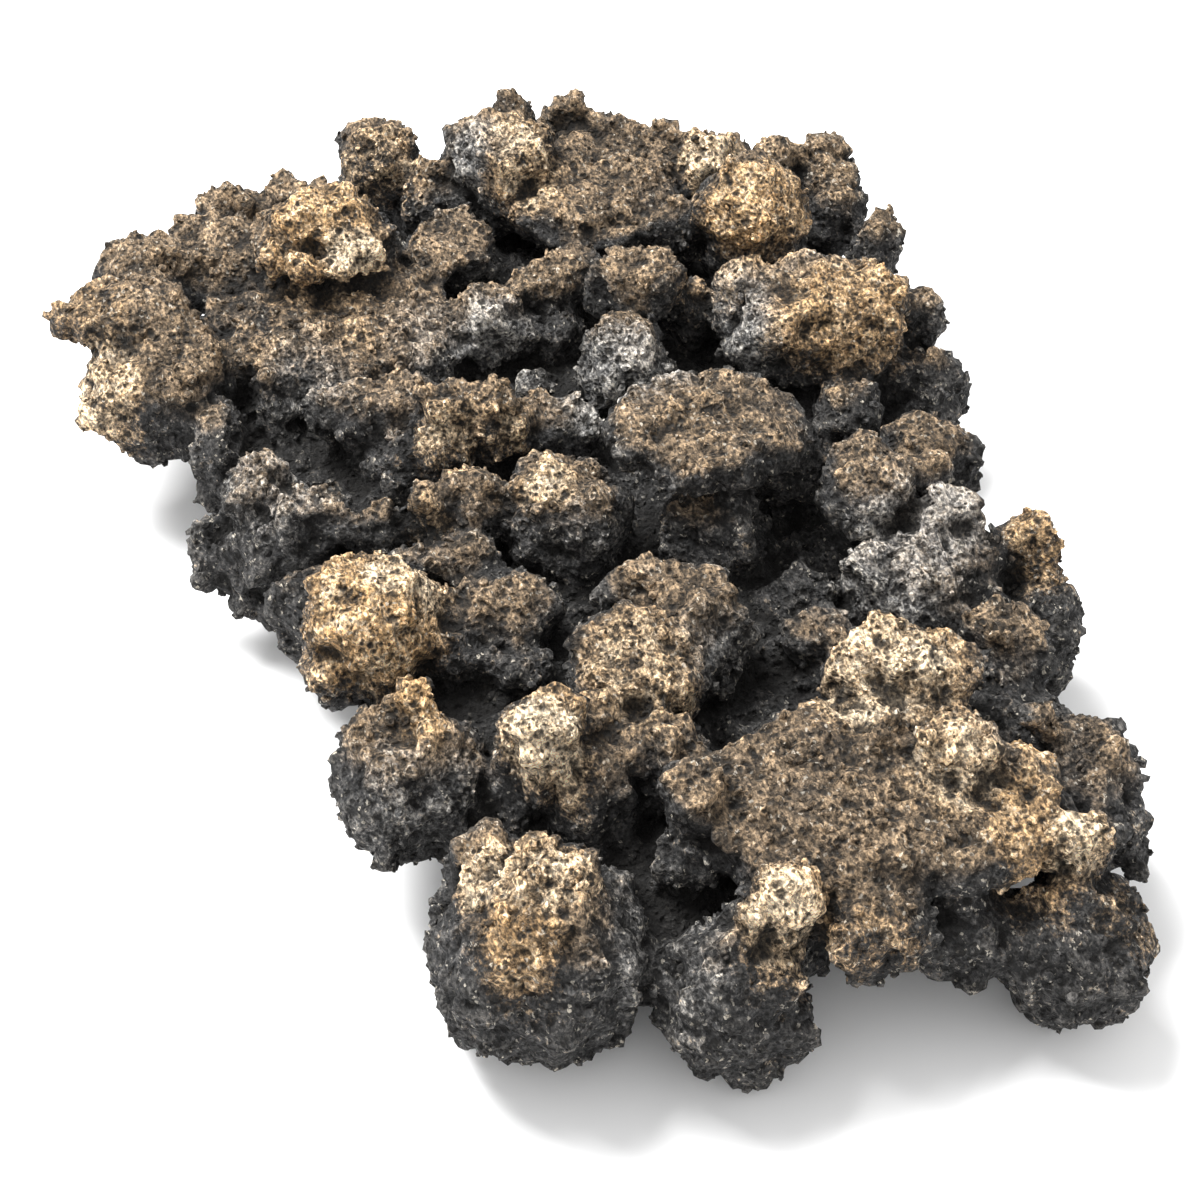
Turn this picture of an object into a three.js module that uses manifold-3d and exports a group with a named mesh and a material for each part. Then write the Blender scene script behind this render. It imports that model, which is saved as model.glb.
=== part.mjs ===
// A slab of lava clinker: dark, frothy lumps of lava that fell soft and cooled together as one rough stone.
// Millimetres, +Z up. +X runs along the slab to its broad end. The origin is under the middle of the stone.
import * as THREE from "three";
import { mergeVertices } from "three/addons/utils/BufferGeometryUtils.js";
import Module from "manifold-3d";

const wasm = await Module();
wasm.setup();

// Driving dimensions
const BED_TOP = 12; // the bed is the welded mass that every lump grows out of
const BED_BOTTOM = 5;
const BED_RELIEF = 1.2; // how far its top rises and falls
const BED_CELLS = [8, 6, 1]; // facets along its length, width and edge
const UNDER_SPACING = 22; // between the lumps of the underside
const UNDER_WIDTH = 26;
const UNDER_TALL = 9.5;
const UNDER_TOP = 11.5;
const ROOT = 9.5; // every lump but a plate reaches down at least this far
const FACET = 7.8; // length of a facet's edge on a lump
const FEWEST_SIDES = 6;
const FEWEST_RINGS = 4;
const CRUST_FLATNESS = 0.5; // how much of a lump's height over its crust line stays
const FOOT_TRIM = 0.8; // how much of a foot the trim takes off
const TRIM_BOX = 400; // larger than the stone, to cut its lowest lumps flat where it rests
const DEGREE = Math.PI / 180;

// Forms of lump. plan and profile: how boxy it is from above and from the side, 2 being round.
// crust: how high up the lump its flat top starts, 1 being no flat. rough: how far the surface wanders.
const ROUND = { plan: 2, profile: 2.1, crust: 1, rough: 0.22, rooted: true };
const LOBE = { plan: 2.2, profile: 2.3, crust: 0.92, rough: 0.22, rooted: true };
const BLOCK = { plan: 2.5, profile: 2.7, crust: 0.8, rough: 0.2, rooted: true };
const PLATE = { plan: 2.2, profile: 3.4, crust: 0.7, rough: 0.13, rooted: false };

// The bed's reach from the origin at sixteen bearings, from +X round by +Y
const BED_REACH = [49, 48, 46, 41, 38, 46, 66, 68, 68, 66, 46, 31, 27, 28, 35, 47];

// Every lump: the middle of its plan, how high its top is, its length, width and height, and its form.
// turn is the bearing of the length from +X, 70 where none is given. lean tips the top towards the near end.
// stands: it reaches down past the resting height, where the trim leaves a flat on it.
// outline gives the plan's reach at eight bearings, from the length round by the width, 1 being the ellipse.
const LUMPS = [
  // the narrow corner
  {
    at: [-43.5, -36.5],
    top: 22,
    size: [19, 19, 14],
    form: BLOCK,
    outline: [1, 0.95, 0.95, 1.1, 1, 1.1, 1.02, 0.9],
  },
  {
    at: [-51, -38.5],
    top: 24,
    size: [17, 14, 6.5],
    form: PLATE,
    outline: [0.9, 1, 0.9, 0.8, 1.1, 1, 0.8, 1],
  },
  { at: [-59.5, -34], top: 24, size: [14, 10, 9], turn: 85, form: ROUND },
  { at: [-60, -25], top: 22, size: [16, 14, 10], form: PLATE },
  { at: [-68, -22.5], top: 24, size: [10, 8, 12], form: ROUND },
  { at: [-55, -14.5], top: 27, size: [18, 14.5, 11], form: LOBE, outline: [1, 1, 1, 1, 0.95, 1, 1.05, 1.05] },
  { at: [-54, -14], top: 29.5, size: [13, 10.5, 8], turn: 60, form: LOBE },
  { at: [-46, -16], top: 20.5, size: [31, 23, 8], form: PLATE, outline: [1, 1, 1, 1, 1, 0.9, 1.1, 0.9] },
  { at: [-40, -24], top: 19, size: [9, 15, 12], turn: 85, form: LOBE },
  // the far edge
  { at: [-72, -2], top: 25, size: [12.5, 10.5, 13], form: LOBE },
  {
    at: [-63, 10],
    top: 28,
    size: [15, 12, 10],
    form: BLOCK,
    outline: [0.95, 1, 1, 0.9, 1.1, 0.85, 1.1, 0.95],
  },
  { at: [-68, 8], top: 25, size: [9, 7, 12], form: ROUND },
  { at: [-68, 13.5], top: 28.5, size: [6, 5, 11], form: ROUND },
  { at: [-70, 21.5], top: 25, size: [8.5, 7, 12], form: ROUND },
  { at: [-65.5, 26.5], top: 24, size: [7, 6, 10], form: ROUND },
  { at: [-62.5, 30.5], top: 24.5, size: [7, 6, 11], form: ROUND },
  {
    at: [-59, 20.5],
    top: 22,
    size: [28, 24, 9],
    form: PLATE,
    outline: [0.9, 1.05, 1, 1, 0.85, 0.95, 1.05, 0.8],
  },
  { at: [-58, 35.5], top: 24.5, size: [11, 7, 9], turn: 95, form: ROUND },
  { at: [-55, 43], top: 24, size: [8, 7, 11], form: ROUND },
  { at: [-54, 48.5], top: 23, size: [8, 7, 12], form: ROUND },
  { at: [-50, 48], top: 21, size: [10, 10, 13], form: LOBE },
  { at: [-54, 1], top: 20.5, size: [13, 12.5, 9], form: PLATE },
  // the middle of the far half
  { at: [-40, 1.5], top: 22, size: [10, 9, 12], form: LOBE },
  { at: [-38, -9], top: 18.5, size: [14, 11, 8], form: BLOCK },
  { at: [-44, 10], top: 21, size: [14, 7, 8], turn: 100, form: BLOCK },
  { at: [-35.5, 17.5], top: 25, size: [12.5, 10, 10], form: PLATE, outline: [1, 1.1, 0.9, 1, 1, 0.9, 1, 1] },
  { at: [-34.5, 23], top: 22, size: [7.5, 7, 12], form: ROUND },
  { at: [-27, 13], top: 23.5, size: [12.5, 11.5, 14], form: ROUND },
  {
    at: [-43.5, 34.5],
    top: 28,
    size: [15, 14.5, 14],
    form: BLOCK,
    outline: [1, 1.05, 1.05, 1, 1, 0.95, 1, 0.9],
  },
  { at: [-48, 26.5], top: 22.5, size: [8, 7, 10], form: ROUND },
  {
    at: [-25, 35.5],
    top: 26,
    size: [24.5, 19, 15],
    form: BLOCK,
    outline: [0.9, 1.05, 1, 0.9, 0.95, 1.05, 0.85, 1],
  },
  { at: [-30, 29], top: 25.5, size: [9, 9, 12], form: ROUND },
  // the right-hand edge
  { at: [-39, 49], top: 20.5, size: [7, 8, 13], form: ROUND },
  { at: [-47, 47.5], top: 20, size: [9, 8, 12], form: ROUND },
  { at: [-24, 47], top: 21, size: [7, 8, 12], form: ROUND },
  { at: [-20, 36], top: 18, size: [10, 8, 8], form: BLOCK },
  { at: [-18, 43], top: 18, size: [9, 8, 10], form: ROUND },
  { at: [-17.5, 45.5], top: 17, size: [11, 11, 13], form: LOBE },
  { at: [-2, 38], top: 21.5, size: [12.5, 12, 12], form: BLOCK, outline: [1.05, 0.9, 1, 1, 1, 0.8, 1, 1] },
  { at: [10, 34.5], top: 23, size: [8.5, 7, 8], form: ROUND },
  { at: [13.5, 41.5], top: 21, size: [9, 8, 11], form: LOBE },
  { at: [19, 42], top: 16.5, size: [8, 13, 15], form: LOBE },
  { at: [26, 33], top: 20, size: [11, 10, 13], form: BLOCK },
  // the middle
  { at: [-29.5, -15], top: 20, size: [18, 9, 9], turn: 80, form: BLOCK },
  { at: [-24, -14], top: 18, size: [8, 12, 10], form: ROUND },
  { at: [-23.5, -9], top: 23, size: [11, 11, 12], form: BLOCK, outline: [1, 1, 0.9, 0.8, 1, 0.9, 1.15, 1] },
  { at: [-21.5, -4], top: 24, size: [8, 6.5, 9], form: ROUND },
  { at: [-22, 2], top: 19, size: [12, 10, 9], form: LOBE },
  { at: [-11.5, -10.5], top: 21, size: [8, 5.5, 5], turn: 80, form: PLATE },
  { at: [-10.5, -15], top: 22, size: [5.5, 5, 8], form: BLOCK },
  { at: [-12, -20.5], top: 20, size: [7, 6, 9], turn: 95, form: ROUND },
  { at: [-5, -15], top: 19, size: [11, 6, 6], turn: 80, form: BLOCK },
  { at: [-8, -2], top: 22, size: [15, 15.5, 14], form: LOBE, outline: [1, 1.1, 0.9, 0.9, 0.95, 1, 1, 1.1] },
  {
    at: [-6.5, 14],
    top: 26,
    size: [25, 20, 6.5],
    form: PLATE,
    outline: [0.95, 1.1, 0.95, 0.85, 1, 0.85, 0.95, 0.8],
  },
  { at: [-9, 8], top: 27, size: [10, 8, 6], form: PLATE },
  { at: [-1, 13], top: 20.5, size: [13.5, 12, 14], form: LOBE },
  { at: [-5, 23.5], top: 22.5, size: [9, 9, 12], form: ROUND },
  { at: [3.5, 28], top: 25.5, size: [10, 12, 8], lean: 28, form: PLATE },
  { at: [14, 30], top: 20.5, size: [20.5, 15, 14], form: LOBE, outline: [1, 1, 1, 0.9, 1, 0.9, 1, 1] },
  { at: [3, -11.5], top: 19, size: [12.5, 10, 8], form: BLOCK },
  { at: [7, -18], top: 18, size: [8, 6.5, 9], form: ROUND },
  { at: [8.5, 2.5], top: 22, size: [11, 7, 9], form: BLOCK },
  { at: [17.5, -2.5], top: 24, size: [16, 14.5, 12], turn: 55, lean: 10, form: LOBE },
  { at: [13.5, 5.5], top: 23.5, size: [12, 13.5, 14], form: LOBE },
  { at: [17, 17], top: 18, size: [11, 8, 9], form: ROUND },
  // the left-hand edge
  { at: [-34, -32], top: 18, size: [7, 14, 14], form: LOBE },
  { at: [-21.5, -30], top: 21, size: [10.5, 9, 12], turn: 85, form: LOBE },
  { at: [-16, -27], top: 20, size: [10, 9, 12], form: ROUND },
  { at: [-17, -31.5], top: 16, size: [13, 9, 13], form: LOBE },
  { at: [-6.5, -29.5], top: 18, size: [11, 9, 14], form: ROUND },
  { at: [11, -26], top: 15, size: [11, 8, 13], form: LOBE },
  {
    at: [2.5, -25],
    top: 24,
    size: [15.5, 18, 14],
    form: BLOCK,
    outline: [1.05, 1, 0.95, 0.9, 0.95, 1, 0.9, 0.8],
  },
  { at: [20, -26.5], top: 21.5, size: [14.5, 16.5, 17], form: LOBE },
  // the broad end
  { at: [24.5, -16.5], top: 19.5, size: [9, 10, 12], form: ROUND },
  { at: [29.5, -11.5], top: 20.5, size: [11, 10, 15], form: LOBE },
  { at: [23.5, -9], top: 22, size: [9, 7, 12], form: ROUND },
  { at: [26, -14.5], top: 26, size: [9, 8, 7], turn: 90, form: BLOCK },
  { at: [34, -23], top: 21, size: [8.5, 7, 10], form: ROUND },
  { at: [43, -21], top: 22.5, size: [22.5, 19.5, 19], form: ROUND, stands: true },
  { at: [43, -20], top: 24, size: [11, 11, 8], form: LOBE },
  { at: [28.5, -3.5], top: 22, size: [8.5, 8, 11], form: BLOCK },
  { at: [36.5, -4.5], top: 23.5, size: [7, 7, 6], lean: 20, form: PLATE },
  { at: [39.5, -5.5], top: 19, size: [8, 7, 11], form: ROUND },
  {
    at: [41, 12.5],
    top: 22,
    size: [35, 28, 9],
    form: PLATE,
    outline: [1, 0.85, 0.95, 0.85, 1, 1.05, 0.78, 1.05],
  },
  {
    at: [28.5, 19.5],
    top: 25.5,
    size: [16, 12, 12],
    form: BLOCK,
    outline: [1, 1, 1, 0.75, 0.95, 0.9, 0.8, 1.1],
  },
  { at: [41.5, 20], top: 26, size: [10, 8, 9], form: BLOCK },
  { at: [49, -1], top: 23, size: [8.5, 7, 9], form: BLOCK },
  { at: [53, 7], top: 19.5, size: [10, 8, 8], turn: 85, form: BLOCK },
  { at: [50.5, -5.5], top: 18, size: [17, 16.5, 17], form: ROUND, stands: true },
  { at: [51.5, 27.5], top: 21.5, size: [6.5, 6, 9], form: ROUND },
  { at: [56, 26], top: 17.5, size: [17, 17.5, 17], form: ROUND, stands: true },
  { at: [42.5, 33.5], top: 19, size: [14, 18.5, 15], form: LOBE },
  { at: [52.5, 16], top: 15, size: [14.5, 11, 8], form: BLOCK },
  // low lumps at the edge, in the notches between the others
  { at: [-67, -15.5], top: 24, size: [9, 8, 12], form: ROUND },
  { at: [-65, 2.5], top: 19, size: [12, 9, 9], form: LOBE },
  { at: [34, 31], top: 16.5, size: [13, 12, 10], form: LOBE },
];

// Lumps of the underside that the stone rests on, out of sight from above
const FEET = [
  { at: [-48, -18], top: 12, size: [17, 15, 12], form: ROUND, stands: true },
  { at: [-44, 27], top: 12, size: [18, 16, 12], form: ROUND, stands: true },
];

// A number from 0 to 1 that depends only on a whole-numbered corner of space.
function cornerValue(x, y, z) {
  const wave = Math.sin(x * 127.1 + y * 311.7 + z * 74.7) * 43758.5453;
  return wave - Math.floor(wave);
}

// Smooth noise from -1 to 1.
function noise(x, y, z) {
  const [cx, cy, cz] = [Math.floor(x), Math.floor(y), Math.floor(z)];
  const [fx, fy, fz] = [x - cx, y - cy, z - cz].map((f) => f * f * (3 - 2 * f));
  let sum = 0;
  for (const [i, wx] of [[0, 1 - fx], [1, fx]])
    for (const [j, wy] of [[0, 1 - fy], [1, fy]])
      for (const [k, wz] of [[0, 1 - fz], [1, fz]])
        sum += cornerValue(cx + i, cy + j, cz + k) * wx * wy * wz;
  return 2 * sum - 1;
}

// The plan's reach at a bearing in radians, smooth through the eight values of an outline.
function outlineReach(outline, bearing) {
  const step = ((bearing / (2 * Math.PI) + 1) % 1) * outline.length;
  const from = Math.floor(step) % outline.length;
  const to = (from + 1) % outline.length;
  const blend = (1 - Math.cos(Math.PI * (step - Math.floor(step)))) / 2;
  return outline[from] * (1 - blend) + outline[to] * blend;
}

// The reach of a rounded box of two sides at a bearing in radians, 2 being a circle.
function boxyReach(power, bearing) {
  return (Math.abs(Math.cos(bearing)) ** power + Math.abs(Math.sin(bearing)) ** power) ** (-1 / power);
}

// A lump's surface at a direction from its middle, as a share of its half size.
function lumpPoint(direction, { form, outline }, seed) {
  const { plan, profile, crust, rough } = form;
  const { x, y, z } = direction;
  const bearing = Math.atan2(y, x);
  const swell = boxyReach(profile, Math.asin(Math.min(1, Math.max(-1, z))));
  const reach = outline ? outlineReach(outline, bearing) : boxyReach(plan, bearing);
  const wander = noise(x * 1.3 + seed, y * 1.3, z * 1.3 + seed) * rough;
  const knobbly = noise(x * 3.1, y * 3.1 + seed, z * 3.1) * rough * 0.8;
  const share = swell * (1 + wander + knobbly);
  const point = new THREE.Vector3(x * reach * share, y * reach * share, z * share);
  if (point.z > crust) point.z = crust + (point.z - crust) * CRUST_FLATNESS;
  return point;
}

// A ball of facets about as long as FACET once it has the given size, its vertices a little off a regular
// grid.
function facetedBall(size, seed) {
  const sides = Math.max(FEWEST_SIDES, Math.round((Math.PI * (size[0] + size[1])) / 2 / FACET));
  const rings = Math.max(FEWEST_RINGS, Math.round(sides * 0.42));
  const ball = new THREE.SphereGeometry(1, sides, rings);
  ball.rotateX(seed * 1.3);
  ball.rotateZ(seed);
  const merged = shareVertices(ball);
  const position = merged.getAttribute("position");
  const shift = 1.6 / sides;
  for (let i = 0; i < position.count; i++) {
    const off = [0, 1, 2].map((axis) => (cornerValue(i, axis, seed) - 0.5) * shift);
    position.setXYZ(i, position.getX(i) + off[0], position.getY(i) + off[1], position.getZ(i) + off[2]);
  }
  return merged;
}

// Stretches the half of a geometry that is under its middle.
function drawDown(geometry, share) {
  const position = geometry.getAttribute("position");
  for (let i = 0; i < position.count; i++) {
    if (position.getZ(i) < 0) position.setZ(i, position.getZ(i) * share);
  }
}

// A lump as a closed geometry, its highest point at the given height.
function lumpGeometry(lump, seed) {
  const { at, top, size, turn = 70, lean = 0, stands = false } = lump;
  const geometry = facetedBall(size, seed);
  const position = geometry.getAttribute("position");
  const direction = new THREE.Vector3();
  for (let i = 0; i < position.count; i++) {
    direction.fromBufferAttribute(position, i).normalize();
    const point = lumpPoint(direction, lump, seed);
    position.setXYZ(i, point.x, point.y, point.z);
  }
  geometry.scale(size[0] / 2, size[1] / 2, size[2] / 2);
  geometry.rotateX(lean * DEGREE);
  geometry.rotateZ(turn * DEGREE);
  geometry.computeBoundingBox();
  const { min, max } = geometry.boundingBox;
  const base = stands ? -FOOT_TRIM : ROOT;
  const drop = base - (top - max.z);
  if (stands || (lump.form.rooted && min.z > drop)) drawDown(geometry, drop / min.z);
  geometry.translate(at[0], at[1], top - max.z);
  return geometry;
}

// The lumps of the underside: one row round the rim, and staggered rows inside it, no two alike.
function undersideLumps() {
  const places = [];
  for (let bearing = 0; bearing < 2 * Math.PI; bearing += UNDER_SPACING / outlineReach(BED_REACH, bearing)) {
    const reach = outlineReach(BED_REACH, bearing) - UNDER_WIDTH * 0.42;
    places.push([reach * Math.cos(bearing), reach * Math.sin(bearing)]);
  }
  for (let row = -2; row <= 2; row++)
    for (let column = -4; column <= 4; column++) {
      const [x, y] = [(column + (row % 2) / 2) * UNDER_SPACING, row * UNDER_SPACING * 0.9];
      const inside = outlineReach(BED_REACH, Math.atan2(y, x)) - UNDER_WIDTH * 1.05;
      if (Math.hypot(x, y) < inside) places.push([x, y]);
    }
  return places.map(([x, y], i) => {
    const stray = [noise(i, 0.5, 1), noise(i, 0.5, 4)].map((n) => n * UNDER_SPACING * 0.2);
    const wide = UNDER_WIDTH * (1 + 0.2 * noise(i, 0.5, 7));
    const tall = UNDER_TALL * (1 + 0.2 * noise(i, 0.5, 10));
    const size = [wide, wide * 0.85, tall];
    return { at: [x + stray[0], y + stray[1]], top: UNDER_TOP, size, turn: i * 50, form: LOBE };
  });
}

// The bed: a box of facets whose plan is drawn out to BED_REACH and whose top and underside are uneven.
function bedGeometry() {
  const geometry = shareVertices(new THREE.BoxGeometry(2, 2, 2, ...BED_CELLS));
  const position = geometry.getAttribute("position");
  for (let i = 0; i < position.count; i++) {
    const [u, v, w] = [position.getX(i), position.getY(i), position.getZ(i)];
    const bearing = Math.atan2(v, u);
    const edge = Math.max(Math.abs(Math.cos(bearing)), Math.abs(Math.sin(bearing)));
    const reach = outlineReach(BED_REACH, bearing) * edge;
    const [x, y] = [u * reach, v * reach];
    const relief = noise(x / 5, y / 5, 2.5) * BED_RELIEF;
    position.setXYZ(i, x, y, (w > 0 ? BED_TOP : BED_BOTTOM) + relief);
  }
  return geometry;
}

// A geometry's faces with one vertex at each corner that they share.
function shareVertices(geometry) {
  geometry.deleteAttribute("normal");
  geometry.deleteAttribute("uv");
  return mergeVertices(geometry, 1e-4);
}

// A closed geometry with shared vertices as a solid that can be joined and cut.
function toSolid(geometry) {
  const vertProperties = new Float32Array(geometry.getAttribute("position").array);
  const triVerts = new Uint32Array(geometry.index.array);
  return new wasm.Manifold(new wasm.Mesh({ numProp: 3, vertProperties, triVerts }));
}

// A solid's surface as a geometry.
function toGeometry(solid) {
  const { vertProperties, triVerts } = solid.getMesh();
  const geometry = new THREE.BufferGeometry();
  geometry.setAttribute("position", new THREE.BufferAttribute(vertProperties, 3));
  geometry.setIndex(new THREE.BufferAttribute(triVerts, 1));
  geometry.computeVertexNormals();
  return geometry;
}

// A geometry without the pockets that joining sealed inside it: only the faces that hang together with its
// first one.
function outerShell(geometry) {
  const corners = Array.from(geometry.index.array);
  const reached = new Set([corners[0]]);
  for (let before = 0; before < reached.size; ) {
    before = reached.size;
    for (let i = 0; i < corners.length; i += 3) {
      const face = corners.slice(i, i + 3);
      if (face.some((corner) => reached.has(corner))) face.forEach((corner) => reached.add(corner));
    }
  }
  geometry.setIndex(corners.filter((corner) => reached.has(corner)));
  return geometry.toNonIndexed();
}

// The whole stone: the bed and every lump joined, then trimmed flat where it rests.
function stoneGeometry() {
  const lumps = [...LUMPS, ...undersideLumps(), ...FEET];
  let stone = toSolid(bedGeometry());
  lumps.forEach((lump, i) => {
    stone = stone.add(toSolid(lumpGeometry(lump, i * 5.7)));
  });
  const above = new THREE.BoxGeometry(TRIM_BOX, TRIM_BOX, TRIM_BOX);
  above.translate(0, 0, TRIM_BOX / 2);
  return outerShell(toGeometry(stone.intersect(toSolid(shareVertices(above)))));
}

const clinker = new THREE.MeshStandardMaterial({ color: 0x57534e, roughness: 0.95, metalness: 0 });

const rock = new THREE.Mesh(stoneGeometry(), clinker);
rock.name = "rock";
rock.geometry.computeBoundingBox();
const middle = rock.geometry.boundingBox.getCenter(new THREE.Vector3());
rock.position.set(-middle.x, -middle.y, 0);

const slab = new THREE.Group();
slab.add(rock);

export default slab;
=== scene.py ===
"""A slab of lava clinker: frothy dark lumps with rusty and cream stains, fused into one stone."""

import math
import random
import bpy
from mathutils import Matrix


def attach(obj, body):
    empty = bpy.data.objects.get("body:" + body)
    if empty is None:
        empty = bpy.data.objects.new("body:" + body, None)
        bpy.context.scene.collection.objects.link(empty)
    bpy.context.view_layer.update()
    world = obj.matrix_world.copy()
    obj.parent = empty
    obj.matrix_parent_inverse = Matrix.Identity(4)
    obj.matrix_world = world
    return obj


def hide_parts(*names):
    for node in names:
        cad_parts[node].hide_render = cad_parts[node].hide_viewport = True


bl_info = {
    "name": "Lava clinker slab",
    "version": (1, 0, 0),
    "blender": (4, 5, 0),
    "location": "View3D > Sidebar > Clinker",
    "description": "Gives a slab of lava clinker its rough skin and grains, on a pale floor",
    "category": "Object",
}

import bmesh
import bpy
import numpy as np
from bpy.props import FloatProperty, FloatVectorProperty, IntProperty, PointerProperty
from mathutils import Matrix, Vector

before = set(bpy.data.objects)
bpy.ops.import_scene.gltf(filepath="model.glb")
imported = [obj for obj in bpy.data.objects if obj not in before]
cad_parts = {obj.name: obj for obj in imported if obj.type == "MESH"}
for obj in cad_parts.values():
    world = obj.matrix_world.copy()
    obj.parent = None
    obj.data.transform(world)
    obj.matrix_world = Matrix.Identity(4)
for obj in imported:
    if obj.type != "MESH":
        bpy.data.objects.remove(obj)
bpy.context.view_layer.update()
MM = 0.001

# What is added to a place in the tables below, in mm, to find it in the stone's own frame
LAYOUT_SHIFT = (6.8, -3.0)

# Scattered knobs: seed, lowest height, radius in mm, share of the radius that is sunk in
KNOB_SEED = 11
KNOB_LOWEST = 2 * MM
KNOB_RADIUS = (0.8, 2.0)
KNOB_SUNK = (0.2, 0.6)

# How far a knob is drawn out sideways and upwards
KNOB_SIDES = (0.8, 1.25)
KNOB_HEIGHT = (0.75, 1.1)

# Grains: seeds, sizes, flattening of the smallest and the largest, unevenness of their corners
SHAPE_SEED = 5
COARSE_SEED = 3
FINE_SEED = 8
COARSE_SIZE = (0.35 * MM, 0.8 * MM)
FINE_SIZE = (0.15 * MM, 0.42 * MM)
GRAIN_HEIGHT = (0.7, 0.8)
GRAIN_CORNERS = (0.75, 1.2)

# How often values are averaged with their neighbours', for small, middling and broad forms
NEAR_ROUNDS = 10
BROAD_ROUNDS = 30
FAR_ROUNDS = 110

# The height in mm where the crust starts, how much higher it is whole, and its hold on slopes
CRUST_START = 11
CRUST_RISE = 9
CRUST_HOLD = 1.2

# A stain's strength in its middle, cut off at 1, and what it loses over one reach outwards.
# Downwards it loses 1 over its depth, from what it has at its own height.
STAIN_CORE = 1.9
STAIN_FADE = 1.4
STAIN_TOP = 1.8
STAIN_DEPTH = 6 * MM

# What the colour of a grain, a streak and a tip is multiplied by, and the pale flecks' colour. The
# tip's lightening is partly wear and partly painted highlight, and the flecks are partly crystals
# and partly painted glints
GRAIN_DARK = (0.35, 0.35, 0.35)
GRAIN_LIGHT = (1.75, 1.68, 1.58)
STREAK_DARK = (0.4, 0.4, 0.41)
STREAK_LIGHT = (1.8, 1.75, 1.68)
TIP_WEAR_AND_HIGHLIGHT = (1.9, 1.85, 1.75)
CRYSTAL_AND_GLINT = (0.72, 0.66, 0.56)

# The large soft light, and the floor from its middle to its edge
KEY_PLACE = (-0.2, -0.13, 0.43)
KEY_AIM = (0, 0, 0.01)
KEY_SIZE = 0.26
FLOOR_REACH = 6
FLOOR_COLOUR = (0.93, 0.93, 0.93)

# Small knobs, finer than the solid's lumps: x, y, height of the top, radius, all in mm
KNOBS = [
    (-63, -12.5, 25, 1.8), (-46.5, -25, 20.5, 2.2), (-41, -17.5, 21, 1.6), (-56.5, 26.5, 23.5, 2.4),
    (-5, 5.5, 27, 1.9), (3, 35, 22.5, 2.8), (16, -24.5, 22.5, 2.4), (16.5, -31.5, 16.5, 2.0),
    (44.5, 24.5, 24, 2.0), (38.5, 30, 22, 2.4), (37.5, 14.5, 25, 2.6), (-15, -35, 10, 2.6),
    (-22, -36.5, 14, 2.8), (-19, -38, 11, 2.4), (-67, -16, 23, 3.2), (-63, -5, 24, 2.8),
    (-47, -14, 26, 2.0), (-47.8, -18, 26, 2.2), (-50.5, -21, 26, 1.9),
    (-48, -10.2, 26, 2.1), (-51, -7.8, 26, 1.8),
    (-66, 1.5, 22, 3.4), (-39, 9, 17, 4.0), (-9.5, -10.5, 21, 2.8), (10, -12, 17, 3.4),
    (9, 19, 16, 4.0), (-14, 34.5, 18, 3.8), (-68, 8, 25, 3.2), (-30, 3, 18, 3.0),
]

# Stains of the crust: x, y, height, reach along X and across it, all in mm, and strength
OCHRE = [
    (-50.5, -15.5, 29, 6.5, 7.5, 1.0), (-38, 32, 27, 8, 6.5, 1.0), (-42, 38.5, 27, 5, 4, 0.9),
    (-20.7, 37.3, 25, 7, 8, 0.9), (-21, 31, 26, 5, 4, 0.8), (6, -25.6, 23, 8.5, 7.5, 1.1),
    (18.5, -24.8, 22, 4, 2.6, 1.0), (25.9, -13.3, 25, 3, 3, 0.8), (30, 20.5, 25, 5, 6, 0.9),
    (42.3, 27, 23, 3, 3, 1.0), (51, 22.8, 22, 7, 4.5, 0.8), (51.2, 1.3, 22, 3, 3, 0.8),
    (55.7, 5.6, 20, 4, 5, 0.5), (53, -3.3, 15, 3, 3.5, 0.6), (45.7, -23.9, 22, 4.5, 4, 0.9),
    (-56.8, 8.3, 27, 3.4, 3, 0.8), (15, 42.2, 17, 5, 3.6, 0.7), (-43.8, -16.3, 21, 9, 12, 0.4),
    (-50, -43, 18, 9, 6, 0.5), (17.5, -2.5, 23, 6, 5, 0.45), (-7, 14, 26, 5, 5, 0.35),
]
CREAM = [
    (-47.5, -12.5, 28, 3.2, 4.5, 1.0), (-59, 12, 27, 6, 5, 0.8), (-67.4, -3.5, 24, 6, 6, 0.55),
    (-55.6, 34.9, 24, 3.6, 5, 1.0), (2, -21.5, 24, 4.6, 5, 0.9), (28.4, -15.6, 26, 5.2, 4.6, 1.1),
    (30.8, 17.6, 25, 6.4, 8, 1.0), (43.7, 18.6, 25, 4.4, 5, 0.9), (51.9, -1.4, 22, 4.4, 4.2, 1.0),
    (42.7, -20.1, 23, 4.4, 5, 0.8), (38, -24.3, 23, 3.6, 3.8, 0.9), (21, -3.6, 22, 7.4, 6, 0.7),
    (-7.7, -2.9, 21, 3, 3.2, 1.0), (-17.8, -10.9, 23, 6, 6, 0.75), (-17.2, -3.2, 24, 2.8, 2.2, 1.0),
    (-8.6, -15.9, 21, 3.2, 2.8, 0.5), (52.3, 26.5, 21, 2.8, 3, 1.0), (-42, -43, 20, 7, 5, 0.8),
    (-31, 25, 26, 4, 5, 0.5), (-38, -48, 14, 8, 5, 0.7), (58, 30, 12, 4, 4, 0.5),
]
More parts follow.
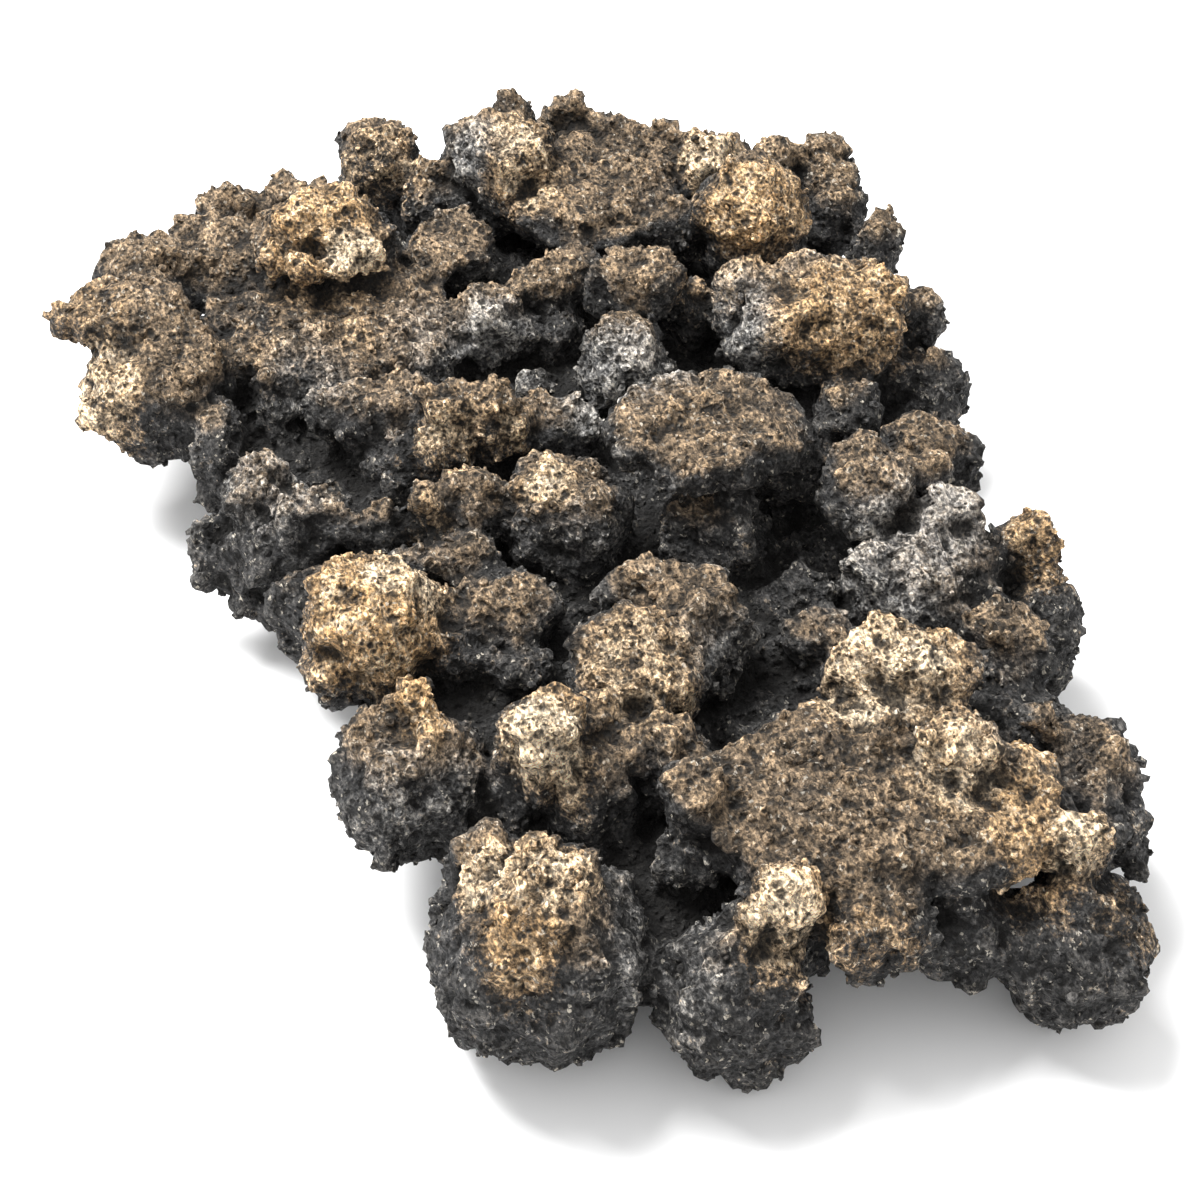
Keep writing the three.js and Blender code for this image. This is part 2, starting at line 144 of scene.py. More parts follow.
ASH = [
    (-34, 0, 22, 6, 5.4, 1.0), (-20.7, 11, 22, 8, 7.5, 1.0), (-24, 25.6, 25, 8, 4.6, 0.8),
    (10.9, 33.5, 21, 5, 5, 0.9), (13.5, 27.4, 19, 7, 7, 0.8), (-61, 5, 27, 4, 7, 0.8),
    (42.9, 21, 24, 3, 4, 0.6), (-36, -21, 18, 8, 5, 0.5), (26, -27, 18, 8, 8, 0.45),
    (48, -12, 16, 9, 8, 0.4), (-20, -29, 20, 7, 6, 0.6), (-30, 36, 24, 4, 6, 0.4),
    (-39, -7, 20, 6, 5, 0.5), (0, 0, 20, 7, 7, 0.4), (20, 6, 22, 5, 6, 0.5),
]


class StoneSettings(bpy.types.PropertyGroup):
    skin_step: FloatProperty(
        name="Skin step", description="Size of a cell of the skin", default=0.66 * MM,
        min=0.3 * MM, unit="LENGTH", precision=5,
    )
    rounding: IntProperty(
        name="Rounding", description="How often the skin is smoothed over the facets", default=4,
    )
    kept_faces: FloatProperty(
        name="Kept faces", description="Share of the skin's faces that thinning keeps",
        default=0.7, min=0.1, max=1,
    )
    swell: FloatProperty(
        name="Swell", description="Height of the broad swells", default=1.8 * MM, unit="LENGTH",
    )
    swell_width: FloatProperty(
        name="Swell width", description="Width of a broad swell", default=7 * MM, unit="LENGTH",
    )
    clod: FloatProperty(
        name="Clod", description="Height of the clods on a lump", default=1.3 * MM, unit="LENGTH",
    )
    clod_width: FloatProperty(
        name="Clod width", description="Width of a clod", default=3.4 * MM, unit="LENGTH",
    )
    crumb: FloatProperty(
        name="Crumb", description="Height of the crumbs on a clod", default=0.6 * MM,
        unit="LENGTH",
    )
    crumb_width: FloatProperty(
        name="Crumb width", description="Width of a crumb", default=1.5 * MM, unit="LENGTH",
    )
    crag: FloatProperty(
        name="Crag", description="Depth of the creases between the crumbs", default=1.5 * MM,
        unit="LENGTH",
    )
    crag_width: FloatProperty(
        name="Crag width", description="Width between creases", default=2.4 * MM, unit="LENGTH",
    )
    knob_count: IntProperty(
        name="Knobs", description="Small knobs scattered over the lumps", default=300,
    )
    coarse_grains: IntProperty(
        name="Coarse grains", description="Coarse grains stuck to the skin", default=3000,
    )
    fine_grains: IntProperty(
        name="Fine grains", description="Fine grains stuck to the skin", default=9600,
    )
    char: FloatVectorProperty(
        name="Char", description="Dark rock of the sides", subtype="COLOR",
        default=(0.036, 0.0365, 0.038),
    )
    # Painted shade: the near black that darkens pores, creases and the gaps between lumps
    painted_shade: FloatVectorProperty(
        name="Painted shade", description="Darkest rock, in the pores and gaps", subtype="COLOR",
        default=(0.008, 0.007, 0.006),
    )
    crust: FloatVectorProperty(
        name="Crust", description="Brown crust of the tops", subtype="COLOR",
        default=(0.235, 0.177, 0.120),
    )
    ochre: FloatVectorProperty(
        name="Ochre", description="Rusty stain", subtype="COLOR", default=(0.520, 0.335, 0.160),
    )
    cream: FloatVectorProperty(
        name="Cream", description="Pale stain", subtype="COLOR", default=(0.720, 0.615, 0.470),
    )
    ash: FloatVectorProperty(
        name="Ash", description="Blue grey bloom", subtype="COLOR", default=(0.400, 0.405, 0.410),
    )


class StageSettings(bpy.types.PropertyGroup):
    azimuth: FloatProperty(
        name="Azimuth", description="Bearing of the view", default=math.radians(70),
        subtype="ANGLE",
    )
    elevation: FloatProperty(
        name="Elevation", description="Height of the view over the horizon",
        default=math.radians(45), subtype="ANGLE",
    )
    distance: FloatProperty(
        name="Distance", description="From the camera to the stone", default=245 * MM,
        unit="LENGTH",
    )
    lens: FloatProperty(name="Lens", description="Focal length in mm", default=70.0)
    aim_height: FloatProperty(
        name="Aim height", description="Height that the camera aims at", default=10 * MM,
        unit="LENGTH",
    )
    key: FloatProperty(
        name="Key light", description="Power of the large soft light in watts", default=5.9,
    )
    fill: FloatProperty(
        name="Surroundings", description="Brightness of the white surroundings", default=1.1,
    )


def placed(x, y, z):
    """A place of the layout in the stone's own frame."""
    return Vector(((x + LAYOUT_SHIFT[0]) * MM, (y + LAYOUT_SHIFT[1]) * MM, z * MM))


def new_object(name, mesh):
    made = bpy.data.objects.new(name, mesh)
    bpy.context.scene.collection.objects.link(made)
    return made


def finished_mesh(source, name):
    """The mesh of an object with its modifiers applied. The object itself is removed."""
    graph = bpy.context.evaluated_depsgraph_get()
    mesh = bpy.data.meshes.new_from_object(source.evaluated_get(graph))
    mesh.name = name
    old = source.data
    bpy.data.objects.remove(source)
    bpy.data.meshes.remove(old)
    return mesh


# The skin

def add_ball(bm, middle, radius, rng):
    """A ball a little out of round, at a place of the stone's frame."""
    angle = rng.uniform(0, math.tau)
    axis = Vector((rng.random(), rng.random(), 1)).normalized()
    stretch = [rng.uniform(*extent) for extent in (KNOB_SIDES, KNOB_SIDES, KNOB_HEIGHT)]
    place = Matrix.Translation(middle) @ Matrix.Rotation(angle, 4, axis)
    place = place @ Matrix.Diagonal((*stretch, 1))
    bmesh.ops.create_icosphere(bm, subdivisions=2, radius=radius, matrix=place)


def knobbed_solid(settings):
    """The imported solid's shape, with the small knobs sunk into its surface."""
    rng = random.Random(KNOB_SEED)
    bm = bmesh.new()
    bm.from_mesh(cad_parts["rock"].data)
    bmesh.ops.remove_doubles(bm, verts=bm.verts, dist=0.01 * MM)
    bm.normal_update()
    faces = [face for face in bm.faces if face.calc_center_median().z > KNOB_LOWEST]
    areas = [face.calc_area() for face in faces]
    sites = []
    for face in rng.choices(faces, weights=areas, k=settings.knob_count):
        first, second, third = (vert.co for vert in face.verts)
        low, high = sorted((rng.random(), rng.random()))
        point = first * low + second * (high - low) + third * (1 - high)
        radius = rng.uniform(*KNOB_RADIUS) * MM
        sites.append((point - face.normal * radius * rng.uniform(*KNOB_SUNK), radius))
    for middle, radius in sites:
        add_ball(bm, middle, radius, rng)
    for x, y, top, radius in KNOBS:
        add_ball(bm, placed(x, y, top - radius), radius * MM, rng)
    mesh = bpy.data.meshes.new("knobbed")
    bm.to_mesh(mesh)
    bm.free()
    return new_object("knobbed", mesh)


def relief_texture(name, kind, width, **values):
    texture = bpy.data.textures.new(name, kind)
    texture.noise_scale = width
    for key, value in values.items():
        setattr(texture, key, value)
    return texture


def displace(stone, texture, height, middle=0.5):
    step = stone.modifiers.new(texture.name, "DISPLACE")
    step.texture = texture
    step.texture_coords = "LOCAL"
    step.strength = height
    step.mid_level = middle


def rough_skin(settings):
    """The stone's skin: a closed mesh over the solid and its knobs, rounded and then broken up."""
    stone = knobbed_solid(settings)
    remesh = stone.modifiers.new("skin", "REMESH")
    remesh.mode = "VOXEL"
    remesh.voxel_size = settings.skin_step
    rounding = stone.modifiers.new("rounding", "SMOOTH")
    rounding.iterations = settings.rounding
    swells = relief_texture("swells", "CLOUDS", settings.swell_width, noise_depth=2)
    clods = relief_texture("clods", "VORONOI", settings.clod_width, distance_metric="DISTANCE")
    crags = relief_texture("crags", "CLOUDS", settings.crag_width,
                           noise_type="HARD_NOISE", noise_depth=3)
    crumbs = relief_texture("crumbs", "VORONOI", settings.crumb_width, distance_metric="DISTANCE")
    displace(stone, swells, settings.swell)
    displace(stone, clods, -settings.clod, middle=0.45)
    displace(stone, crags, settings.crag, middle=0.35)
    displace(stone, crumbs, -settings.crumb, middle=0.45)
    thinning = stone.modifiers.new("thinning", "DECIMATE")
    thinning.ratio = settings.kept_faces
    mesh = finished_mesh(stone, "stone skin")
    keep_largest(mesh)
    rest_on_floor(mesh)
    return mesh


def keep_largest(mesh):
    """Deletes every part of a mesh that doesn't hang together with its largest one."""
    bm = bmesh.new()
    bm.from_mesh(mesh)
    parts = []
    left = set(bm.verts)
    while left:
        part, fresh = set(), {left.pop()}
        while fresh:
            part |= fresh
            fresh = {edge.other_vert(vert) for vert in fresh for edge in vert.link_edges} - part
        left -= part
        parts.append(part)
    parts.sort(key=len)
    bmesh.ops.delete(bm, geom=[vert for part in parts[:-1] for vert in part], context="VERTS")
    bm.to_mesh(mesh)
    bm.free()


def rest_on_floor(mesh):
    """Presses what reaches below the resting height flat."""
    points = point_array(mesh)
    points[:, 2] = np.maximum(points[:, 2], 0)
    mesh.vertices.foreach_set("co", points.ravel())
    mesh.update()


# Values over the skin

def point_array(mesh):
    points = np.empty(len(mesh.vertices) * 3, np.float32)
    mesh.vertices.foreach_get("co", points)
    return points.reshape(-1, 3)


def normal_array(mesh):
    normals = np.empty(len(mesh.vertices) * 3, np.float32)
    mesh.vertex_normals.foreach_get("vector", normals)
    return normals.reshape(-1, 3)


def averaged(values, edges, rounds):
    """Values at the vertices, each averaged with its neighbours' as often as rounds says."""
    ends = np.concatenate([edges[:, 0], edges[:, 1]])
    others = np.concatenate([edges[:, 1], edges[:, 0]])
    count = np.bincount(ends, minlength=len(values)) + 1
    for _ in range(rounds):
        sums = [np.bincount(ends, column[others], len(values)) for column in values.T]
        values = (values + np.stack(sums, 1)) / count[:, None]
    return values


def stain_values(points, stains):
    """How strongly the stains reach each point, from 0 to a little over 1."""
    value = np.zeros(len(points))
    for x, y, z, along, across, strength in stains:
        middle = placed(x, y, z)
        sideways = (points[:, 0] - middle.x) / (along * MM)
        distance = np.hypot(sideways, (points[:, 1] - middle.y) / (across * MM))
        depth = np.clip((points[:, 2] - middle.z) / STAIN_DEPTH + STAIN_TOP, 0, 1)
        reach = np.clip(STAIN_CORE - STAIN_FADE * distance, 0, 1)
        value = np.maximum(value, strength * reach * depth)
    return value


def set_values(mesh, name, values):
    attribute = mesh.attributes.new(name, "FLOAT", "POINT")
    attribute.data.foreach_set("value", np.asarray(values, np.float32))


def mark_skin(mesh):
    """Stores what the material reads: relief, hollows, crust and stains."""
    edges = np.empty(len(mesh.edges) * 2, np.int64)
    mesh.edges.foreach_get("vertices", edges)
    edges = edges.reshape(-1, 2)
    points = point_array(mesh).astype(float)
    normals = normal_array(mesh).astype(float)
    near = averaged(points, edges, NEAR_ROUNDS)
    far = averaged(near, edges, FAR_ROUNDS)
    broad = averaged(normals, edges, BROAD_ROUNDS)
    broad /= np.linalg.norm(broad, axis=1, keepdims=True)
    # Relief and hollow drive the painted shade in creases and gaps, and relief also the lighter
    # tips
    set_values(mesh, "relief", ((points - near) * normals).sum(1) / MM)
    set_values(mesh, "hollow", ((near - far) * broad).sum(1) / MM)
    height = np.clip(points[:, 2] / MM - CRUST_START, 0, CRUST_RISE)
    set_values(mesh, "crust", np.clip(broad[:, 2] * CRUST_HOLD, 0, 1) * height / CRUST_RISE)
    for name, stains in (("ochre", OCHRE), ("cream", CREAM), ("ash", ASH)):
        set_values(mesh, name, stain_values(points, stains))


# Materials

def link(tree, source, target):
    tree.links.new(source, target)


def add_node(tree, kind, **values):
    node = tree.nodes.new(kind)
    for key, value in values.items():
        setattr(node, key, value)
    return node


def stored(tree, name):
    node = add_node(tree, "ShaderNodeAttribute", attribute_name=name)
    return node.outputs["Fac"]


def ramp(tree, value, low, high, start=0.0, end=1.0):
    """value mapped from low and high to start and end, and held there outside them."""
    node = add_node(tree, "ShaderNodeMapRange", interpolation_type="SMOOTHSTEP")
    link(tree, value, node.inputs["Value"])
    node.inputs["From Min"].default_value = low
    node.inputs["From Max"].default_value = high
    node.inputs["To Min"].default_value = start
    node.inputs["To Max"].default_value = end
    return node.outputs["Result"]


def maths(tree, operation, first, second):
    node = add_node(tree, "ShaderNodeMath", operation=operation)
    for socket, value in zip(node.inputs, (first, second)):
        if isinstance(value, (int, float)):
            socket.default_value = value
        else:
            link(tree, value, socket)
    return node.outputs[0]


def weighted(tree, first, first_share, second, second_share):
    """The sum of two values, each times its share."""
    first = maths(tree, "MULTIPLY", first, first_share)
    return maths(tree, "ADD", first, maths(tree, "MULTIPLY", second, second_share))


def cloud(tree, place, width, detail=3.0, rough=0.6):
    """Noise with features about width across."""
    node = add_node(tree, "ShaderNodeTexNoise")
    link(tree, place, node.inputs["Vector"])
    node.inputs["Scale"].default_value = 1 / width
    node.inputs["Detail"].default_value = detail
    node.inputs["Roughness"].default_value = rough
    return node.outputs["Fac"]


def cells(tree, place, width):
    """Cells about width across."""
    node = add_node(tree, "ShaderNodeTexVoronoi")
    link(tree, place, node.inputs["Vector"])
    node.inputs["Scale"].default_value = 1 / width
    return node


def blended(tree, share, first, second, kind="MIX"):
    """A colour between two, or first changed by second, by a share."""
    node = add_node(tree, "ShaderNodeMix", data_type="RGBA", blend_type=kind)
    factor = next(s for s in node.inputs if s.name == "Factor" and s.type == "VALUE")
    colours = [s for s in node.inputs if s.type == "RGBA"]
    if isinstance(share, (int, float)):
        factor.default_value = share
    else:
        link(tree, share, factor)
    for socket, value in zip(colours, (first, second)):
        if isinstance(value, tuple):
            socket.default_value = (*value, 1)
        else:
            link(tree, value, socket)
    return next(s for s in node.outputs if s.type == "RGBA")


def scaled(colour, amount):
    """A colour made darker or lighter."""
    return tuple(channel * amount for channel in colour)


def stretched(tree, place):
    """A place drawn out along one slanting line, which turns noise into needles."""
    node = add_node(tree, "ShaderNodeMapping")
    link(tree, place, node.inputs["Vector"])
    node.inputs["Rotation"].default_value = (0.7, 0.5, 0.9)
    node.inputs["Scale"].default_value = (0.3, 1, 1)
    return node.outputs["Vector"]


def clinker_group(settings):
    """The colour and relief of frothy lava, with its crust and stains, painted shade in its pores
    and gaps and painted highlights on its tips, as a node group.
    """
    tree = bpy.data.node_groups.new("Clinker surface", "ShaderNodeTree")
    # Pores scales the pores' painted shade and dents; the second amount scales the lighter tips,
    # partly wear and partly painted highlight
    for name in ("Pores", "Wear and highlight"):
        amount = tree.interface.new_socket(name, in_out="INPUT", socket_type="NodeSocketFloat")
        amount.default_value, amount.min_value, amount.max_value = 1.0, 0.0, 1.0
    tree.interface.new_socket("Color", in_out="OUTPUT", socket_type="NodeSocketColor")
    tree.interface.new_socket("Height", in_out="OUTPUT", socket_type="NodeSocketFloat")
    tree.interface.new_socket("Roughness", in_out="OUTPUT", socket_type="NodeSocketFloat")
    amounts = add_node(tree, "NodeGroupInput").outputs
    place = add_node(tree, "ShaderNodeTexCoord").outputs["Object"]
    patches = cloud(tree, place, 8 * MM)
    mottle = cloud(tree, place, 2.6 * MM, detail=6, rough=0.7)
    grain = cloud(tree, place, 0.5 * MM, detail=4, rough=0.75)
    needles = cloud(tree, stretched(tree, place), 0.3 * MM, detail=3, rough=0.7)
    specks = cells(tree, place, 0.36 * MM)
    chips = cells(tree, place, 0.7 * MM)
    pores = cells(tree, place, 1.5 * MM)
    pinholes = cells(tree, place, 0.75 * MM)

    char, painted_shade, crust = tuple(settings.char), tuple(settings.painted_shade), tuple(settings.crust)
    slate = blended(tree, ramp(tree, mottle, 0.35, 0.68), scaled(char, 0.6), scaled(char, 2.1))
    brown = blended(tree, ramp(tree, mottle, 0.35, 0.65), scaled(crust, 0.4), scaled(crust, 1.15))
    worn_through = weighted(tree, patches, 1.1, mottle, 0.9)
    crusted = ramp(tree, maths(tree, "ADD", stored(tree, "crust"), worn_through), 1.5, 2.05)
    colour = blended(tree, crusted, slate, brown)

    # The stains are ragged, and a thin rusty halo runs round each pale one.
    ragged = maths(tree, "SUBTRACT", weighted(tree, mottle, 2.2, grain, 1.8), 2.0)
    cream = maths(tree, "ADD", stored(tree, "cream"), ragged)
    bloom = maths(tree, "ADD", stored(tree, "ash"), ragged)
    stained = maths(tree, "MAXIMUM", stored(tree, "ochre"), stored(tree, "cream"))
    rust = maths(tree, "ADD", stained, ragged)
    colour = blended(tree, ramp(tree, bloom, 0.2, 1.2, 0, 0.75), colour, tuple(settings.ash))
    colour = blended(tree, ramp(tree, rust, 0.25, 1.2, 0, 0.8), colour, tuple(settings.ochre))
    rind = maths(tree, "ADD", maths(tree, "MULTIPLY", stored(tree, "ochre"), 0.45), ragged)
    pale_stain = maths(tree, "MAXIMUM", maths(tree, "SUBTRACT", cream, 0.15), rind)
    colour = blended(tree, ramp(tree, pale_stain, 0.3, 1.1, 0, 0.9), colour, tuple(settings.cream))

    # Each grain is lighter or darker than the next, and a few are pale flecks, partly crystals and
    # partly painted glints.
    shade = add_node(tree, "ShaderNodeSeparateColor")
    link(tree, specks.outputs["Color"], shade.inputs["Color"])
    tone = blended(tree, ramp(tree, shade.outputs["Red"], 0.0, 1.0), GRAIN_DARK, GRAIN_LIGHT)
    colour = blended(tree, 0.8, colour, tone, "MULTIPLY")
    streak = blended(tree, ramp(tree, needles, 0.36, 0.64), STREAK_DARK, STREAK_LIGHT)
    colour = blended(tree, 0.85, colour, streak, "MULTIPLY")
    # Pale flecks: partly crystals, partly painted glints
    glint_and_crystal = maths(tree, "MULTIPLY", ramp(tree, shade.outputs["Green"], 0.93, 0.97),
                 ramp(tree, needles, 0.45, 0.55))
    colour = blended(tree, maths(tree, "MULTIPLY", glint_and_crystal, 0.65), colour, CRYSTAL_AND_GLINT)

    # Pores and gaps are dark, and the tips of the crumbs are worn pale.
    open_patch = ramp(tree, cloud(tree, place, 3 * MM), 0.38, 0.55)
    open_patch = maths(tree, "MULTIPLY", open_patch, amounts["Pores"])
    pit = maths(tree, "MULTIPLY", ramp(tree, pores.outputs["Distance"], 0.42, 0.2), open_patch)
    prick = maths(tree, "MULTIPLY", ramp(tree, pinholes.outputs["Distance"], 0.4, 0.2),
                  ramp(tree, cloud(tree, place, 1.8 * MM), 0.36, 0.5))
    # Painted shade: pores, pinholes, creases and the gaps between lumps are darkened towards near
    # black, and the tips of the crumbs are lighter, partly wear and partly painted highlight.
    prick = maths(tree, "MAXIMUM", prick, ramp(tree, grain, 0.42, 0.3))
    colour = blended(tree, maths(tree, "MULTIPLY", prick, 0.85), colour, painted_shade)
    colour = blended(tree, maths(tree, "MULTIPLY", pit, 0.9), colour, painted_shade)
    relief = stored(tree, "relief")
    # Painted shade in creases and in the gaps between lumps
    colour = blended(tree, ramp(tree, relief, 0.0, -0.6, 0, 0.9), colour, painted_shade)
    colour = blended(tree, ramp(tree, stored(tree, "hollow"), -0.2, -2.4, 0, 0.93), colour, painted_shade)
    # Lighter tips: partly wear, partly painted highlight
    tips = maths(tree, "MULTIPLY", ramp(tree, relief, 0.1, 0.6, 0, 0.6), amounts["Wear and highlight"])
    worn_and_lit = blended(tree, 1.0, colour, TIP_WEAR_AND_HIGHLIGHT, "MULTIPLY")
    colour = blended(tree, tips, colour, worn_and_lit)

    height = weighted(tree, grain, 1.4, chips.outputs["Distance"], -0.8)
    height = maths(tree, "ADD", height, maths(tree, "MULTIPLY", needles, 0.7))
    height = maths(tree, "SUBTRACT", height, weighted(tree, pit, 1.6, prick, 0.6))
    out = add_node(tree, "NodeGroupOutput")
    link(tree, colour, out.inputs["Color"])
    link(tree, height, out.inputs["Height"])
    link(tree, ramp(tree, shade.outputs["Blue"], 0.8, 1.0, 0.92, 0.42), out.inputs["Roughness"])
    return tree


def clinker_material(name, settings, bump_height, pores, wear_and_highlight):
    """Frothy lava, with a bump of the given height, its share of pores with their painted shade,
    and of lighter tips, partly worn and partly a painted highlight.
    """
    material = bpy.data.materials.new(name)
    material.use_nodes = True
    tree = material.node_tree
    shader = next(node for node in tree.nodes if node.type == "BSDF_PRINCIPLED")
    group = bpy.data.node_groups.get("Clinker surface") or clinker_group(settings)
    surface = add_node(tree, "ShaderNodeGroup", node_tree=group)
    surface.inputs["Pores"].default_value = pores
    surface.inputs["Wear and highlight"].default_value = wear_and_highlight
    bump = add_node(tree, "ShaderNodeBump")
    bump.inputs["Distance"].default_value = bump_height
    bump.inputs["Strength"].default_value = 1.0
    link(tree, surface.outputs["Height"], bump.inputs["Height"])
    link(tree, surface.outputs["Color"], shader.inputs["Base Color"])
    link(tree, surface.outputs["Roughness"], shader.inputs["Roughness"])
    link(tree, bump.outputs["Normal"], shader.inputs["Normal"])
    shader.inputs["Specular IOR Level"].default_value = 0.35
    return material


# Grains

def grain_nodes(name, count_per_area, size_range, shape, material, seed):
    """Geometry nodes that stick grains of a shape to a surface and give out the grains alone."""
    small, large = size_range
    tree = bpy.data.node_groups.new(name, "GeometryNodeTree")
    tree.interface.new_socket("Geometry", in_out="INPUT", socket_type="NodeSocketGeometry")
    tree.interface.new_socket("Geometry", in_out="OUTPUT", socket_type="NodeSocketGeometry")
    scatter = add_node(tree, "GeometryNodeDistributePointsOnFaces")
    scatter.inputs["Density"].default_value = count_per_area
    scatter.inputs["Seed"].default_value = seed
    form = add_node(tree, "GeometryNodeObjectInfo")
    form.inputs["Object"].default_value = shape
    place = add_node(tree, "GeometryNodeInstanceOnPoints")
    size = add_node(tree, "FunctionNodeRandomValue", data_type="FLOAT_VECTOR")
    size.inputs["Min"].default_value = (small, small, small * GRAIN_HEIGHT[0])
    size.inputs["Max"].default_value = (large, large, large * GRAIN_HEIGHT[1])
    size.inputs["Seed"].default_value = seed + 1
    turn = add_node(tree, "FunctionNodeRandomValue", data_type="FLOAT_VECTOR")
    turn.inputs["Max"].default_value = (math.tau, math.tau, math.tau)
    turn.inputs["Seed"].default_value = seed + 2
    realize = add_node(tree, "GeometryNodeRealizeInstances")
    finish = add_node(tree, "GeometryNodeSetMaterial")
    finish.inputs["Material"].default_value = material
    source, target = add_node(tree, "NodeGroupInput"), add_node(tree, "NodeGroupOutput")
    link(tree, source.outputs[0], scatter.inputs["Mesh"])
    link(tree, scatter.outputs["Points"], place.inputs["Points"])
    link(tree, form.outputs["Geometry"], place.inputs["Instance"])
    link(tree, size.outputs["Value"], place.inputs["Scale"])
    link(tree, turn.outputs["Value"], place.inputs["Rotation"])
    link(tree, place.outputs["Instances"], realize.inputs["Geometry"])
    link(tree, realize.outputs["Geometry"], finish.inputs["Geometry"])
    link(tree, finish.outputs["Geometry"], target.inputs[0])
    return tree


def grain_shape():
    """One angular grain, 2 across, to scatter."""
    bm = bmesh.new()
    bmesh.ops.create_icosphere(bm, subdivisions=1, radius=1)
    rng = random.Random(SHAPE_SEED)
    for vert in bm.verts:
        vert.co *= rng.uniform(*GRAIN_CORNERS)
    mesh = bpy.data.meshes.new("grain shape")
    bm.to_mesh(mesh)
    bm.free()
    return new_object("grain shape", mesh)


def scatter_grains(name, skin, count, size_range, material, seed):
    """A piece of many grains stuck to the skin."""
    area = sum(face.area for face in skin.polygons)
    shape = grain_shape()
    bed = new_object(name + " bed", skin.copy())
    step = bed.modifiers.new("grains", "NODES")
    step.node_group = grain_nodes(name, count / area, size_range, shape, material, seed)
    mesh = finished_mesh(bed, name)
    old = shape.data
    bpy.data.objects.remove(shape)
    bpy.data.meshes.remove(old)
    rest_on_floor(mesh)
    return new_object(name, mesh)


class ClinkerStone(bpy.types.Operator):
    """Makes the stone's rough skin in place of the faceted solid"""
    bl_idname = "clinker.stone"
    bl_label = "Stone"

    def execute(self, context):
        settings = context.scene.clinker_stone
        skin = rough_skin(settings)
        mark_skin(skin)
        skin.materials.clear()
        material = clinker_material("Clinker", settings, bump_height=0.8 * MM, pores=1.0, wear_and_highlight=1.0)
        skin.materials.append(material)
        skin.shade_smooth()
        stone = new_object("clinker_skin", skin)
        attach(stone, "root")
        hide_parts("rock")
        return {"FINISHED"}


class ClinkerGrains(bpy.types.Operator):
    """Sticks coarse and fine grains to the skin"""
    bl_idname = "clinker.grains"
    bl_label = "Grains"

    def execute(self, context):
        settings = context.scene.clinker_stone
        skin = bpy.data.objects.get("clinker_skin")
        if skin is None:
            raise RuntimeError("The stone's skin has to be made before its grains")
        material = clinker_material(
            "Clinker grains", settings, bump_height=0.35 * MM, pores=0.5, wear_and_highlight=0.8)
        coarse = scatter_grains(
            "coarse_grains", skin.data, settings.coarse_grains, COARSE_SIZE, material, COARSE_SEED)
        fine = scatter_grains(
            "fine_grains", skin.data, settings.fine_grains, FINE_SIZE, material, FINE_SEED)
        for piece in (coarse, fine):
            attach(piece, "root")
        return {"FINISHED"}


# The stage

def plain_material(name, colour):
    material = bpy.data.materials.new(name)
    material.use_nodes = True
    shader = next(node for node in material.node_tree.nodes if node.type == "BSDF_PRINCIPLED")
    shader.inputs["Base Color"].default_value = (*colour, 1)
    shader.inputs["Roughness"].default_value = 0.9
    shader.inputs["Specular IOR Level"].default_value = 0.1
    return material


def add_floor():
    bm = bmesh.new()
    bmesh.ops.create_grid(bm, x_segments=1, y_segments=1, size=FLOOR_REACH)
    mesh = bpy.data.meshes.new("Floor")
    bm.to_mesh(mesh)
    bm.free()
    mesh.materials.append(plain_material("Pale floor", FLOOR_COLOUR))
    floor = new_object("floor", mesh)


def add_area_light(name, place, aim, size, power):
    light = bpy.data.lights.new(name, "AREA")
    light.size = size
    light.energy = power
    lamp = new_object(name, light)
    lamp.location = place
    lamp.rotation_euler = (Vector(aim) - Vector(place)).to_track_quat("-Z", "Y").to_euler()


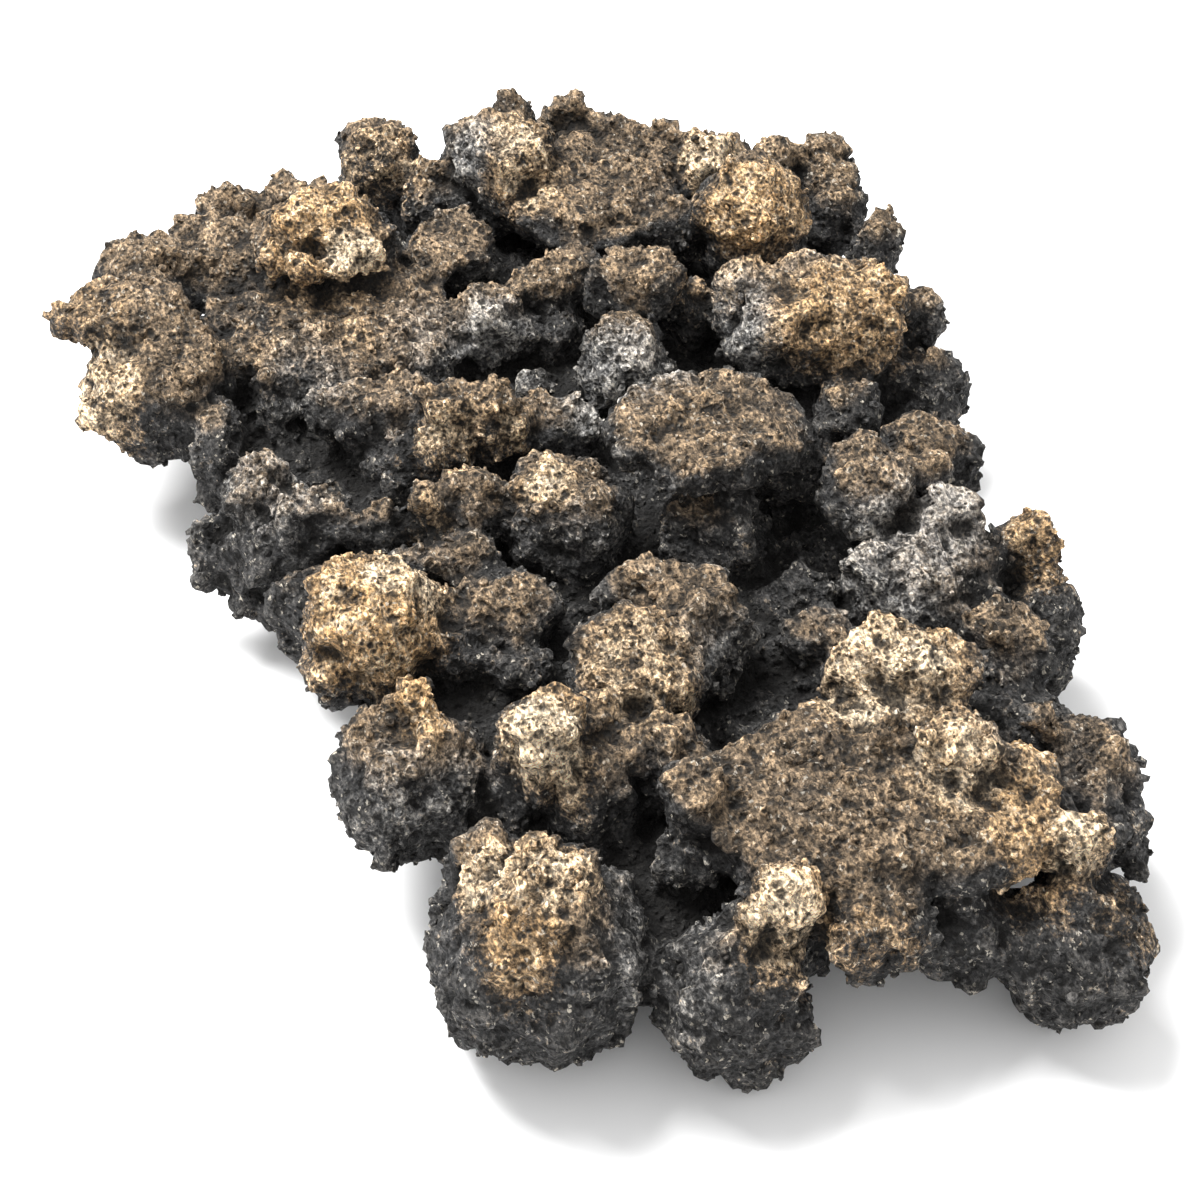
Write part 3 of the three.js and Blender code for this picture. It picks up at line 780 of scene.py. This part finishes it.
def add_camera(settings):
    camera = bpy.data.cameras.new("Camera")
    camera.lens = settings.lens
    camera.sensor_width = 36
    camera.clip_start = 0.01
    turn, rise = settings.azimuth, settings.elevation
    level = math.cos(rise)
    back = Vector((math.sin(turn) * level, -math.cos(turn) * level, math.sin(rise)))
    aim = placed(0, 0, settings.aim_height / MM)
    holder = new_object("Camera", camera)
    holder.location = aim + back * settings.distance
    holder.rotation_euler = back.to_track_quat("Z", "Y").to_euler()
    bpy.context.scene.camera = holder


class ClinkerStage(bpy.types.Operator):
    """Sets up the pale floor, the soft light and the camera"""
    bl_idname = "clinker.stage"
    bl_label = "Stage"

    def execute(self, context):
        settings = context.scene.clinker_stage
        add_floor()
        add_area_light("Key", KEY_PLACE, KEY_AIM, KEY_SIZE, settings.key)
        world = bpy.data.worlds.new("Surroundings")
        world.use_nodes = True
        background = next(node for node in world.node_tree.nodes if node.type == "BACKGROUND")
        background.inputs["Color"].default_value = (1, 1, 1, 1)
        background.inputs["Strength"].default_value = settings.fill
        context.scene.world = world
        context.scene.view_settings.view_transform = "Standard"
        add_camera(settings)
        return {"FINISHED"}


class ClinkerPanel(bpy.types.Panel):
    """Lists the steps that dress the slab"""
    bl_idname = "VIEW3D_PT_clinker"
    bl_label = "Clinker slab"
    bl_space_type = "VIEW_3D"
    bl_region_type = "UI"
    bl_category = "Clinker"

    def draw(self, context):
        for operator in OPERATORS:
            self.layout.operator(operator.bl_idname)


OPERATORS = (ClinkerStone, ClinkerGrains, ClinkerStage)
CLASSES = (StoneSettings, StageSettings, *OPERATORS, ClinkerPanel)


def register():
    for each in CLASSES:
        bpy.utils.register_class(each)
    bpy.types.Scene.clinker_stone = PointerProperty(type=StoneSettings)
    bpy.types.Scene.clinker_stage = PointerProperty(type=StageSettings)


def unregister():
    del bpy.types.Scene.clinker_stage
    del bpy.types.Scene.clinker_stone
    for each in reversed(CLASSES):
        bpy.utils.unregister_class(each)


def main():
    register()
    bpy.ops.clinker.stone()
    bpy.ops.clinker.grains()
    bpy.ops.clinker.stage()


if __name__ == "__main__":
    main()
